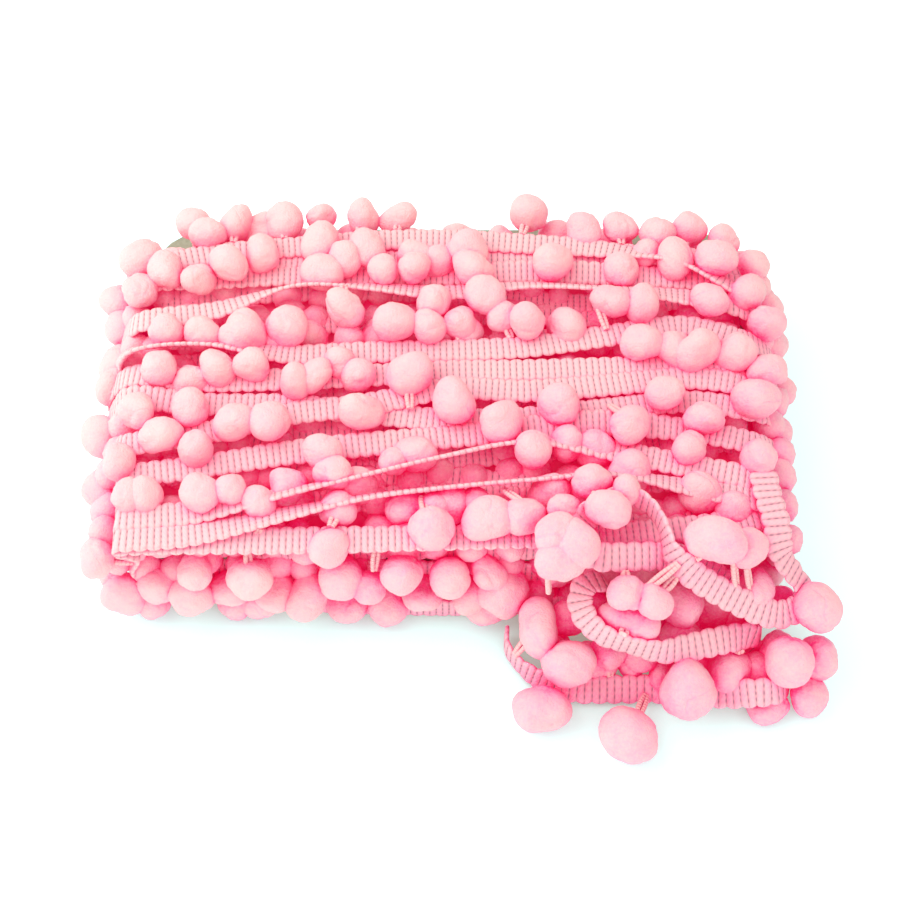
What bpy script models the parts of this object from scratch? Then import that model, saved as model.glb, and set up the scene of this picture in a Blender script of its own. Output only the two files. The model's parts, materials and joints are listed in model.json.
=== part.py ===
"""Pompom fringe trim wound on a card, with its loose end heaped in front of one corner.

Metres, +Z up. The origin is the centre of the wound bundle where it rests on the surface:
+X runs along the bundle, in the direction that the trim is wound, and +Y runs to its far side.
"""

import math
import random
from collections import namedtuple

import bmesh
import bpy
from mathutils import Vector

MM = 0.001

# The trim: a ribbed woven band with bobbles tied along one edge.
BAND_WIDTH = 5.8 * MM
BAND_THICKNESS = 1.2 * MM
BOBBLE_RADIUS = 4.7 * MM
THREAD_RADIUS = 1.1 * MM
# How far a wound bobble may be squeezed or pulled out of round, and tipped, in radians.
BOBBLE_STRETCH = (0.9, 1.06)
BOBBLE_TIP = 0.35
# How far, in millimetres, a wound bobble may lie from its place in its row's table.
ROW_STRAY_X = 0.7
ROW_STRAY_Y = 1.0
ROW_STRAY_Z = 0.6

# The card that the trim is wound on.
CARD_LENGTH = 147 * MM
CARD_NEAR_Y = -38 * MM
CARD_FAR_Y = 56.5 * MM
CARD_THICKNESS = 2 * MM
CARD_MID_Z = 17 * MM
CARD_CORNER = 14 * MM
CARD_CLEARANCE = 0.3 * MM

# The packed inner turns, as one rounded block round the card.
BLOCK_HALF_LENGTH = 75.4 * MM
BLOCK_NEAR_Y = -40.5 * MM
BLOCK_FAR_Y = 47.5 * MM
BLOCK_BOTTOM = 0.9 * MM
BLOCK_TOP = 28.2 * MM
BLOCK_ROUNDING = 10.5 * MM

# The outer turns. Each crosses the top face, rounds both ends and comes back underneath.
RAISED_THICKNESS = 2.4 * MM
TURN_Z = 29.4 * MM
COLUMNS_X = (-70, -54, -36, -18, 0, 18, 36, 54, 67)
# Heights at which a turn passes round an end, and how far short of its reach it is there.
END_ROUND = ((25.5, 2.6), (16.5, 0.0), (6.5, 2.2))
UNDER_X = 65
UNDER_FIRST_Y = -36 * MM
UNDER_PITCH = 7.0 * MM
# The undersides of the lowest bands are pressed flat where they lie on the surface.
UNDER_PRESSED = 0.5 * MM

# The skin that runs the wound pieces together into one solid.
SKIN_VOXEL = 0.8 * MM
SKIN_TRIANGLES = 8600

Turn = namedtuple("Turn", "name lift left right y lean")
# lift is how far the band rides above the block, left and right are how far it reaches past the
# ends, and y is where it crosses each of COLUMNS_X, all in millimetres. lean is its roll there in
# degrees: 0 lies flat, 90 stands with its far edge up.
TURNS = (
    Turn("front_low", 0.0, 73, 74.5,
         (-41.5, -41, -41, -40.5, -40, -39.5, -39, -37.5, -35), (0, 10, 10, 5, 0, 0, 0, 0, 0)),
    Turn("front_cross", 0.7, 74.5, 75.5,
         (-42, -41, -37, -32.6, -29.5, -26.8, -26, -29, -31), (0, 15, 55, 78, 78, 60, 10, 0, 0)),
    Turn("front_rise", 0.9, 75.5, 76,
         (-37, -36, -33.3, -28, -22.5, -17.5, -19, -23, -26), (0, 5, 60, 75, 65, 50, 10, 0, 0)),
    Turn("left_slope", 0.2, 76.5, 76,
         (-25, -22.5, -19.2, -16.8, -14.7, -13, -11.5, -13, -16), (0, 0, 5, 5, 0, 15, 20, 0, 0)),
    Turn("wide_near", 0.8, 77, 76,
         (-17, -14, -9, -6.3, -2, -2.6, -1.0, 1, -1), (0, 0, 0, 0, 0, 0, 0, 0, 0)),
    Turn("left_middle", 0.0, 78.5, 77,
         (-4.5, -5.7, -6, -8, -10, -9.5, -7, -5, -7), (15, 0, 0, 0, 0, 0, 0, 0, 0)),
    Turn("wide_far", 0.4, 79, 78,
         (2, 0.5, 1, 2, 3.2, 3.4, 4, 4.5, 5), (0, 0, 0, 0, 0, 0, 0, 0, 0)),
    Turn("middle_cross", 0.5, 78.5, 77.5,
         (8, 9.3, 7.5, 8.5, 9, 10, 13, 16, 12.5), (70, 70, 10, 0, 0, 0, 0, 0, 0)),
    Turn("upper_twist", 0.8, 78, 76.5,
         (17.5, 20, 26, 26, 25, 26.5, 25.5, 24, 22), (0, 10, 60, 20, 20, 40, 40, 20, 0)),
    Turn("upper_deep", 0.0, 77.5, 77,
         (30, 31, 32, 32, 32, 32.5, 32, 31, 30), (0, 0, 0, 0, 0, 15, 15, 0, 0)),
    Turn("back_edge", 0.6, 76.5, 76,
         (35, 38, 40, 42, 42.3, 41, 39, 34, 27), (0, 0, 0, 0, 0, 0, 10, 45, 20)),
    Turn("back_low", 0.1, 75.5, 74.5,
         (40, 40, 37, 36.5, 36.5, 36.5, 38.5, 40, 37), (0, 0, 0, 0, 0, 0, 0, 0, 0)),
)

# Rows with middles under this height in millimetres rest on the surface and don't stray up or down.
LOWEST_FREE_ROW = 6.5

Row = namedtuple("Row", "name z y x")
# The bobbles that show, row by row: z is the height of their middles, y is the row's place at the
# left end, the middle and the right end, and x is the place of each bobble, all in millimetres.
TOP_ROWS = (
    Row("back_crest", 29.5, (46, 50.5, 42), (-61, -51, -40, -30.5, -21, -12, 19.5, 33, 42, 52, 60, 67)),
    Row("back_upper", 32.4, (36, 37.5, 34), (-72, -57, -44.5, -29.5, -19, -8, 5.5, 55, 64, 72)),
    Row("back_lower", 32, (30, 31, 32), (-66, -58, -50, -30, -15, -7, 6, 25, 41.5)),
    Row("upper", 32.6, (25, 21.5, 21.5), (-73, -24, -3, 9, 38, 46, 61.5)),
    Row("upper_lower", 32.4, (14, 15.5, 17), (-65, -56.5, -47, -36.5, -12, -4, 4, 18.5, 28, 72)),
    Row("middle", 33, (4, 1.5, 8), (-66, -53, -44, -34, -27, -20, -8.5, 45, 56, 66)),
    Row("middle_lower", 33.2, (-7, -7.5, -5), (-70, -57, -18.5, 1.5, 25, 49, 68)),
    Row("lower", 33, (-15, -13, -13), (-63, -47.5, -39, 12, 40, 57)),
    Row("lower_near", 32.6, (-21, -20, -17), (-71, -55, -27, -10, 19.5, 53, 67)),
    Row("near", 32.4, (-31, -29, -28), (-66, -53, -44, -35, -25, -12)),
    Row("near_front", 32, (-36, -36.5, -36), (-72, -4.5, 8.5)),
    Row("front_crest", 27, (-42, -42.5, -43), (-66, -53, -42, -26, -8, 1, 10)),
)
SIDE_ROWS = (
    Row("front_upper", 19, (-43, -43.5, -43), (-68, -60, -51, -34, -29, -17, -3, 7)),
    Row("front_foot", 5.4, (-37, -40.5, -38), (-66, -56, -46, -37, -28, -19, -9, 1, 12, 25, 38, 51)),
    Row("back_upper", 19, (47, 50, 46), (-67, -54, -37, -24, -9, 3, 14, 27, 40, 52, 64)),
    Row("back_foot", 6, (46, 48.5, 46), (-62, -48, -33, -19, -5, 9, 24, 39, 54)),
)
End = namedtuple("End", "name z x y")
# The bobbles round the two ends: z is the row's height, and x and y are each bobble's own place.
END_ROWS = (
    End("left_upper", 21.5, (-75, -79, -80, -81, -80, -76.5, -77, -71), (44, 33, 21, 8, -5, -17, -29, -39)),
    End("left_foot", 7, (-75, -77, -77, -77, -74, -71), (35, 22, 8, -6, -20, -33)),
    End("right_upper", 21.5, (72, 77.5, 76.5, 77, 74), (42, 29, 16, 3, -10)),
    End("right_foot", 7, (73, 75, 76, 75, 74), (36, 24, 10, -4, -18)),
)

# The loose end: one band that leaves the near corner and lies in loops over and before it.
LOOSE_STEPS = 2
LooseStation = namedtuple("LooseStation", "x y z lean")
# Places along the middle of the band in millimetres. lean is its roll in degrees about its own
# direction: 0 lies flat, 90 stands on its edge, and past 90 it has turned over.
LOOSE_PATH = (
    LooseStation(79.0, -35.0, 12.0, -85),
    LooseStation(81.0, -39.5, 12.0, -85),
    LooseStation(82.5, -45.0, 13.0, -85),
    LooseStation(80.5, -51.0, 15.0, -80),
    LooseStation(76.5, -54.0, 17.5, -60),
    LooseStation(71.5, -54.5, 20.5, -40),
    LooseStation(64.0, -54.0, 24.5, -33),
    LooseStation(55.5, -52.5, 29.0, -33),
    LooseStation(50.0, -50.0, 32.5, -45),
    LooseStation(47.3, -45.5, 34.6, -75),
    LooseStation(45.7, -40.5, 35.4, -85),
    LooseStation(43.0, -35.5, 35.6, -85),
    LooseStation(37.5, -34.0, 35.6, -80),
    LooseStation(31.5, -37.0, 35.4, -60),
    LooseStation(27.5, -42.5, 35.0, -30),
    LooseStation(27.5, -48.5, 33.6, 0),
    LooseStation(33.0, -50.5, 32.0, 20),
    LooseStation(40.0, -49.5, 30.0, 25),
    LooseStation(47.5, -48.5, 26.5, 35),
    LooseStation(55.0, -49.5, 22.0, 50),
    LooseStation(63.0, -50.5, 17.0, 65),
    LooseStation(70.5, -52.0, 12.8, 80),
    LooseStation(74.5, -56.0, 11.5, 90),
    LooseStation(69.5, -58.5, 13.0, 110),
    LooseStation(61.5, -58.5, 15.0, 130),
    LooseStation(52.7, -60.5, 16.0, 135),
    LooseStation(44.8, -62.0, 17.0, 120),
    LooseStation(37.3, -61.4, 18.0, 100),
    LooseStation(30.6, -58.8, 19.0, 92),
    LooseStation(26.2, -54.5, 20.0, 90),
    LooseStation(27.0, -49.5, 19.5, 90),
    LooseStation(32.5, -49.0, 16.0, 90),
    LooseStation(39.5, -52.0, 11.5, 90),
    LooseStation(48.0, -54.5, 7.5, 90),
    LooseStation(58.0, -55.5, 5.0, 90),
    LooseStation(67.0, -56.5, 4.0, 90),
    LooseStation(73.0, -59.5, 3.8, 90),
    LooseStation(72.5, -64.5, 3.6, 95),
    LooseStation(66.0, -67.0, 3.4, 92),
    LooseStation(57.8, -67.3, 3.4, 92),
    LooseStation(50.7, -65.6, 3.4, 120),
    LooseStation(44.5, -63.6, 3.0, 145),
    LooseStation(36.5, -63.0, 3.0, 145),
    LooseStation(28.3, -63.4, 3.0, 140),
    LooseStation(21.3, -61.6, 3.3, 115),
    LooseStation(16.3, -57.8, 3.4, 92),
    LooseStation(13.8, -52.7, 3.4, 90),
    LooseStation(14.2, -47.8, 3.4, 90),
)

LooseBobble = namedtuple("LooseBobble", "at x y z wide tall")
# The bobbles of the loose end: at is the station of LOOSE_PATH that each is tied to, x, y and z
# its middle in millimetres, and wide and tall its stretch against a plain round bobble.
LOOSE_BOBBLES = (
    LooseBobble(3, 80.0, -55.0, 20.5, 1.2, 1.2),
    LooseBobble(6, 65.8, -50.0, 29.5, 1.0, 1.0),
    LooseBobble(7, 64.5, -47.0, 35.5, 1.1, 1.1),
    LooseBobble(8, 55.6, -47.0, 37.0, 1.3, 1.2),
    LooseBobble(11, 38.0, -31.5, 38.5, 1.1, 1.0),
    LooseBobble(12, 33.5, -41.5, 39.5, 1.1, 1.0),
    LooseBobble(13, 29.5, -32.0, 37.6, 1.1, 1.1),
    LooseBobble(14, 22.0, -45.0, 38.0, 1.2, 1.2),
    LooseBobble(15, 22.5, -51.0, 35.0, 1.2, 1.2),
    LooseBobble(17, 41.8, -55.5, 27.0, 1.4, 1.0),
    LooseBobble(19, 51.7, -54.0, 15.0, 1.2, 1.2),
    LooseBobble(22, 82.2, -58.0, 9.5, 1.0, 1.0),
    LooseBobble(23, 73.6, -64.5, 13.5, 1.3, 1.3),
    LooseBobble(25, 52.0, -68.5, 12.0, 1.15, 1.5),
    LooseBobble(28, 26.6, -61.5, 10.5, 1.25, 1.2),
    LooseBobble(29, 20.0, -51.0, 13.5, 0.95, 1.4),
    LooseBobble(31, 32.4, -52.5, 20.0, 1.1, 1.0),
    LooseBobble(32, 39.5, -56.5, 15.0, 1.4, 1.0),
    LooseBobble(35, 60.8, -61.0, 7.0, 1.1, 1.1),
    LooseBobble(37, 79.0, -64.5, 4.9, 1.0, 1.0),
    LooseBobble(38, 67.0, -70.5, 4.9, 1.0, 1.0),
    LooseBobble(41, 38.9, -74.4, 6.1, 1.25, 1.25),
    LooseBobble(43, 20.2, -69.3, 5.9, 1.2, 1.2),
)

FABRIC_PINK = (0.98, 0.42, 0.52, 1)
CARD_GREY = (0.42, 0.36, 0.27, 1)


def clear_scene():
    for old in list(bpy.data.objects):
        bpy.data.objects.remove(old)


def new_collection(name, hidden=False):
    collection = bpy.data.collections.new(name)
    bpy.context.scene.collection.children.link(collection)
    collection.hide_render = hidden
    return collection


def new_material(name, colour, roughness):
    material = bpy.data.materials.new(name)
    material.use_nodes = True
    shader = material.node_tree.nodes["Principled BSDF"]
    shader.inputs["Base Color"].default_value = colour
    shader.inputs["Roughness"].default_value = roughness
    shader.inputs["Metallic"].default_value = 0
    return material


def new_object(name, mesh, collection, helper=False):
    made = bpy.data.objects.new(name, mesh)
    collection.objects.link(made)
    if helper:
        made.hide_render = True
        made.display_type = "WIRE"
    return made


def moved_to(collection, made):
    """Puts an object that an operator made into its own collection."""
    for old in list(made.users_collection):
        old.objects.unlink(made)
    collection.objects.link(made)
    return made


def box(name, low, high, collection, helper=False):
    bpy.ops.mesh.primitive_cube_add(size=1)
    made = moved_to(collection, bpy.context.object)
    made.name = name
    size = Vector(high) - Vector(low)
    middle = (Vector(high) + Vector(low)) / 2
    for vertex in made.data.vertices:
        vertex.co = Vector((vertex.co.x * size.x, vertex.co.y * size.y, vertex.co.z * size.z)) + middle
    if helper:
        made.hide_render = True
        made.display_type = "WIRE"
    return made


def smooth_path(points, steps):
    """A Catmull-Rom curve through tuples of numbers, with that many steps between neighbours."""
    path = []
    last = len(points) - 1
    for i in range(last):
        before, a, b, after = (points[max(0, min(last, k))] for k in (i - 1, i, i + 1, i + 2))
        for step in range(steps):
            t = step / steps
            path.append(tuple(
                0.5 * (2 * q + (r - p) * t + (2 * p - 5 * q + 4 * r - s) * t * t
                       + (3 * q - p - 3 * r + s) * t ** 3)
                for p, q, r, s in zip(before, a, b, after)
            ))
    path.append(tuple(points[last]))
    return path


def strip(name, path, leans, thickness, collection, cyclic=False, up=None):
    """A band along a path, rolled about its own direction by its lean, as a surface with Solidify."""
    mesh = bpy.data.meshes.new(name)
    bm = bmesh.new()
    count = len(path)
    pairs = []
    for i, (point, lean) in enumerate(zip(path, leans)):
        ahead = path[(i + 1) % count] if cyclic or i + 1 < count else point
        behind = path[i - 1] if cyclic or i > 0 else point
        along = (ahead - behind).normalized()
        normal = up(along) if up else Vector((0, 0, 1))
        across = normal.cross(along).normalized()
        normal = along.cross(across)
        tilt = math.radians(lean)
        across = across * math.cos(tilt) + normal * math.sin(tilt)
        half = across * (BAND_WIDTH / 2)
        pairs.append((bm.verts.new(point - half), bm.verts.new(point + half)))
    for i in range(count if cyclic else count - 1):
        a, b = pairs[i]
        c, d = pairs[(i + 1) % count]
        bm.faces.new((a, c, d, b))
    bm.to_mesh(mesh)
    bm.free()
    made = new_object(name, mesh, collection, helper=True)
    solidify = made.modifiers.new("thickness", "SOLIDIFY")
    solidify.thickness = thickness
    solidify.offset = 0
    made.modifiers.new("triangles", "TRIANGULATE")
    return made


def turn_path(turn, under_y):
    """Middle points and leans of one closed turn: over the top, round both ends and underneath."""
    z = TURN_Z + turn.lift * MM
    top = [Vector((x * MM, y * MM, z)) for x, y in zip(COLUMNS_X, turn.y)]
    # A band that stands on its edge is raised, so that its lower edge stays on the block.
    for point, lean in zip(top, turn.lean):
        point.z += (BAND_WIDTH / 2 - RAISED_THICKNESS / 2) * math.sin(math.radians(lean))

    def end_round(reach, side, start_y, heights):
        """Points down or up one end, whose y goes evenly from the top's to the underside's."""
        points = []
        for height, short in heights:
            share = 1 - height * MM / TURN_Z
            y = start_y + (under_y - start_y) * share
            points.append(Vector((side * (reach - short) * MM, y, height * MM)))
        return points

    right = end_round(turn.right, 1, top[-1].y, END_ROUND)
    left = end_round(turn.left, -1, top[0].y, END_ROUND[::-1])
    under_z = RAISED_THICKNESS / 2 - UNDER_PRESSED
    below = [Vector((x * MM, under_y, under_z)) for x in (UNDER_X, 0, -UNDER_X)]
    path = top + right + below + left
    return path, list(turn.lean) + [0] * (len(path) - len(turn.lean))


def outward(along):
    """The direction away from the bundle on a turn that runs over the top towards +X."""
    return Vector((-along.z, 0, along.x))


def ball_mesh(name):
    bpy.ops.mesh.primitive_ico_sphere_add(subdivisions=2, radius=BOBBLE_RADIUS)
    made = bpy.context.object
    mesh = made.data
    mesh.name = name
    bpy.data.objects.remove(made)
    return mesh


def bobble(name, mesh, middle, stretch, spin, collection):
    made = new_object(name, mesh, collection, helper=True)
    made.location = middle
    made.scale = stretch
    made.rotation_euler = spin


def thread(name, start, end, collection):
    """The pair of tied yarns from the band's edge into a bobble, as one four-sided rod."""
    bpy.ops.mesh.primitive_cylinder_add(vertices=4, radius=THREAD_RADIUS, depth=(end - start).length)
    made = moved_to(collection, bpy.context.object)
    made.name = name
    made.location = (start + end) / 2
    made.rotation_euler = (end - start).to_track_quat("Z", "Y").to_euler()
    made.hide_render = True
    made.display_type = "WIRE"


def inside_block(point):
    """The nearest place to a point that is well inside the rounded block."""
    low = (-BLOCK_HALF_LENGTH, BLOCK_NEAR_Y, BLOCK_BOTTOM)
    high = (BLOCK_HALF_LENGTH, BLOCK_FAR_Y, BLOCK_TOP)
    return Vector([min(max(c, a + BLOCK_ROUNDING), b - BLOCK_ROUNDING) for c, a, b in zip(point, low, high)])


def row_y(ends, x):
    """Where a row that bends through its left end, middle and right end crosses x."""
    left, middle, right = ends
    t = x / (CARD_LENGTH / 2 / MM)
    return middle + (right - left) / 2 * t + ((left + right) / 2 - middle) * t * t


def wound_bobbles(collection):
    """Every bobble on the bundle. A fixed seed gives each its own stretch, spin and small offset."""
    chance = random.Random(11)
    mesh = ball_mesh("wound_bobble")
    middles = [(row.name, x, row_y(row.y, x), row.z) for row in TOP_ROWS + SIDE_ROWS for x in row.x]
    middles += [(end.name, x, y, end.z) for end in END_ROWS for x, y in zip(end.x, end.y)]
    for number, (name, x, y, z) in enumerate(middles):
        stray = Vector([chance.uniform(-most, most) for most in (ROW_STRAY_X, ROW_STRAY_Y, ROW_STRAY_Z)])
        if z < LOWEST_FREE_ROW:
            stray.z = 0
        stretch = [chance.uniform(*BOBBLE_STRETCH) for _ in range(3)]
        spin = [chance.uniform(-most, most) for most in (BOBBLE_TIP, BOBBLE_TIP, math.pi)]
        middle = (Vector((x, y, z)) + stray) * MM
        bobble(f"{name}_{number}", mesh, middle, stretch, spin, collection)
        thread(f"{name}_thread_{number}", middle, inside_block(middle), collection)


def evaluated_mesh(made):
    return bpy.data.meshes.new_from_object(made.evaluated_get(bpy.context.evaluated_depsgraph_get()))


def finished(name, mesh, collection, material):
    mesh.materials.clear()
    mesh.materials.append(material)
    mesh.shade_smooth()
    mesh.set_sharp_from_angle(angle=math.radians(50))
    return new_object(name, mesh, collection)


def melted(name, pieces, collection, material):
    """The pieces run together into one skin at the voxel's size, thinned to fewer triangles."""
    bm = bmesh.new()
    for piece in pieces.objects:
        mesh = evaluated_mesh(piece)
        mesh.transform(piece.matrix_world)
        bm.from_mesh(mesh)
    mesh = bpy.data.meshes.new(name)
    bm.to_mesh(mesh)
    bm.free()
    lumps = new_object(name + "_lumps", mesh, pieces, helper=True)
    remesh = lumps.modifiers.new("skin", "REMESH")
    remesh.mode = "VOXEL"
    remesh.voxel_size = SKIN_VOXEL
    even = lumps.modifiers.new("even_out", "SMOOTH")
    even.iterations = 1
    skin = evaluated_mesh(lumps)
    outer_shell_only(skin)
    made = finished(name, skin, collection, material)
    thin = made.modifiers.new("fewer_triangles", "DECIMATE")
    thin.ratio = SKIN_TRIANGLES / (2 * len(skin.polygons))
    return made


def fused(name, body, pieces, material):
    """The body with all the pieces joined on exactly, as one plain mesh."""
    union = body.modifiers.new("join", "BOOLEAN")
    union.operation = "UNION"
    union.operand_type = "COLLECTION"
    union.collection = pieces
    union.solver = "EXACT"
    union.use_self = True
    bpy.context.view_layer.update()
    mesh = evaluated_mesh(body)
    outer_shell_only(mesh)
    finished(name, mesh, body.users_collection[0], material)
    bpy.data.objects.remove(body)


def outer_shell_only(mesh):
    """Deletes every shell but the largest: the small pockets that joined bobbles close between them."""
    bm = bmesh.new()
    bm.from_mesh(mesh)
    seen = set()
    shells = []
    for first in bm.verts:
        if first in seen:
            continue
        seen.add(first)
        shell = [first]
        for vertex in shell:
            others = [edge.other_vert(vertex) for edge in vertex.link_edges]
            fresh = [other for other in others if other not in seen]
            seen.update(fresh)
            shell.extend(dict.fromkeys(fresh))
        shells.append(shell)
    shells.sort(key=len)
    for shell in shells[:-1]:
        bmesh.ops.delete(bm, geom=shell, context="VERTS")
    bm.to_mesh(mesh)
    bm.free()


def make_card(collection, material):
    half = CARD_LENGTH / 2
    bottom = CARD_MID_Z - CARD_THICKNESS / 2
    made = box("card", (-half, CARD_NEAR_Y, bottom), (half, CARD_FAR_Y, bottom + CARD_THICKNESS), collection)
    bm = bmesh.new()
    bm.from_mesh(made.data)
    upright = [e for e in bm.edges if abs(e.verts[0].co.z - e.verts[1].co.z) > CARD_THICKNESS / 2]
    bmesh.ops.bevel(bm, geom=upright, offset=CARD_CORNER, segments=6, affect="EDGES", profile=0.5)
    bm.to_mesh(made.data)
    bm.free()
    made.data.materials.append(material)


def make_wound_trim(parts, pieces, cutters, material):
    block = box("block", (-BLOCK_HALF_LENGTH, BLOCK_NEAR_Y, BLOCK_BOTTOM),
                (BLOCK_HALF_LENGTH, BLOCK_FAR_Y, BLOCK_TOP), pieces, helper=True)
    bevel = block.modifiers.new("rounding", "BEVEL")
    bevel.width = BLOCK_ROUNDING
    bevel.segments = 3
    for number, turn in enumerate(TURNS):
        path, leans = turn_path(turn, UNDER_FIRST_Y + number * UNDER_PITCH)
        strip(turn.name, path, leans, RAISED_THICKNESS, pieces, cyclic=True, up=outward)
    wound_bobbles(pieces)
    bpy.context.view_layer.update()
    trim = melted("wound_trim", pieces, parts, material)
    slot_half = CARD_LENGTH / 2 + CARD_CLEARANCE
    slot_z = CARD_THICKNESS / 2 + CARD_CLEARANCE
    slot = box("card_slot", (-slot_half, CARD_NEAR_Y - CARD_CLEARANCE, CARD_MID_Z - slot_z),
               (slot_half, CARD_FAR_Y + CARD_CORNER, CARD_MID_Z + slot_z), cutters, helper=True)
    reach = CARD_LENGTH
    surface = box("surface", (-reach, -reach, -BLOCK_TOP), (reach, reach, 0), cutters, helper=True)
    for cutter in (slot, surface):
        cut = trim.modifiers.new(cutter.name, "BOOLEAN")
        cut.operation = "DIFFERENCE"
        cut.object = cutter
        cut.solver = "EXACT"


def make_loose_trim(parts, pieces, material):
    stations = [(s.x * MM, s.y * MM, s.z * MM, s.lean) for s in LOOSE_PATH]
    samples = smooth_path(stations, LOOSE_STEPS)
    path = [Vector(s[:3]) for s in samples]
    band = strip("loose_band", path, [s[3] for s in samples], BAND_THICKNESS, parts)
    mesh = ball_mesh("loose_bobble")
    chance = random.Random(5)
    for number, row in enumerate(LOOSE_BOBBLES):
        middle = Vector((row.x, row.y, row.z)) * MM
        stretch = (row.wide, row.wide, row.tall)
        spin = (0, 0, chance.uniform(-math.pi, math.pi))
        bobble(f"loose_bobble_{number}", mesh, middle, stretch, spin, pieces)
        thread(f"loose_thread_{number}", path[row.at * LOOSE_STEPS], middle, pieces)
    fused("loose_trim", band, pieces, material)


def main():
    clear_scene()
    parts = new_collection("pompom_fringe_trim")
    wound_pieces = new_collection("wound_pieces", hidden=True)
    loose_pieces = new_collection("loose_pieces", hidden=True)
    cutters = new_collection("cutters", hidden=True)
    pink = new_material("pink_fringe", FABRIC_PINK, 0.9)
    grey = new_material("grey_card", CARD_GREY, 0.8)
    make_card(parts, grey)
    make_wound_trim(parts, wound_pieces, cutters, pink)
    make_loose_trim(parts, loose_pieces, pink)


main()
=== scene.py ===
# Looks of the pompom fringe trim: the wound ribbed bands, the felted bobbles and the yarns that
# tie them, the card that they are wound on, and the loose end. Metres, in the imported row's frame:
# +X along the bundle, +Y to its far side, +Z up from the surface that it lies on.

import json
import math
import random
from collections import namedtuple

import bmesh
import bpy
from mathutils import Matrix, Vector
from mathutils.kdtree import KDTree

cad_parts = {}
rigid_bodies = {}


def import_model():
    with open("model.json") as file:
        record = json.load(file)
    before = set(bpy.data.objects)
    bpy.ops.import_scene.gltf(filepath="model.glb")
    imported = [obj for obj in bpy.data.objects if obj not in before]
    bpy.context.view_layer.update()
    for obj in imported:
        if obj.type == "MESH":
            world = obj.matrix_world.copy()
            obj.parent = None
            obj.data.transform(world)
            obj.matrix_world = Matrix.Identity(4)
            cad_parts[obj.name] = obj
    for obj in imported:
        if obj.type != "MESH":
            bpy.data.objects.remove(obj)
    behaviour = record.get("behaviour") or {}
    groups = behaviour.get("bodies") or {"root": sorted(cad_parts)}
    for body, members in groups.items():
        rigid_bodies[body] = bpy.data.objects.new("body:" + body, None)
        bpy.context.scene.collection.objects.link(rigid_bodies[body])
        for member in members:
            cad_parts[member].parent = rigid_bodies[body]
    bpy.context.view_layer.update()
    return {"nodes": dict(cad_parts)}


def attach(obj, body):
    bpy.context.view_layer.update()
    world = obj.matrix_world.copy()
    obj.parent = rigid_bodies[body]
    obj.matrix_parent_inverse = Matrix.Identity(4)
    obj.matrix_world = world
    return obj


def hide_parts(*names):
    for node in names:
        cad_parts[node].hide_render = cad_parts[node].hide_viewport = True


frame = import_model()

MM = 0.001

# The trim.
BAND_WIDTH = 6.5 * MM
BAND_THICKNESS = 1.1 * MM
RIB_PITCH = 1.45 * MM
LOOSE_RIB_PITCH = 1.65 * MM
SAMPLES_A_RIB = 4
RIBS_A_SCALLOP = 2
RIB_DEPTH = 0.4
SCALLOP = 0.21
# How far the samples of a rib are drawn towards its grooves, as a share of its pitch.
SHOULDER_SHIFT = 0.11
BAND_SIDES = 12
BOBBLE_RADIUS = 4.2 * MM
LUMPS = 3.6 * MM
TUFTS = 0.5 * MM
CREASES = 0.3 * MM
DIMPLE = 0.9 * MM
LOWEST = 0.3 * MM
# Subdivisions of the bobbles in sight, and of those packed between the turns.
FINE_BALL = 4
PLAIN_BALL = 2
YARN_RADIUS = 0.58 * MM
YARN_SPREAD = 0.5 * MM
YARN_PLY = 0.9 * MM
YARN_SAMPLES = 7
YARN_SIDES = 6

# The wound bundle, as its CAD solid has it.
BLOCK_HALF_LENGTH = 75.4 * MM
BLOCK_NEAR_Y = -40.5 * MM
BLOCK_FAR_Y = 47.5 * MM
TURN_Z = 30.3
COLUMNS_X = (-70, -54, -36, -18, 0, 18, 36, 54, 67)
END_ROUND = ((25.5, 2.6), (16.5, 0.0), (6.5, 2.2))
UNDER_COLUMNS_X = (65, 22, -22, -65)
UNDER_FIRST_Y = -36
UNDER_PITCH = 7.0
SURFACE_GAP = 0.45 * MM
TURN_STEPS = 6
# The core keeps this far inside the bundle, and reaches this far up and down from its middle.
CORE_INSET = 4 * MM
CORE_HALF_HEIGHT = 11 * MM
CORE_Z = 12.5 * MM
CORE_ROUND = 7 * MM

Turn = namedtuple("Turn", "name lift left right y lean")
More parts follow.
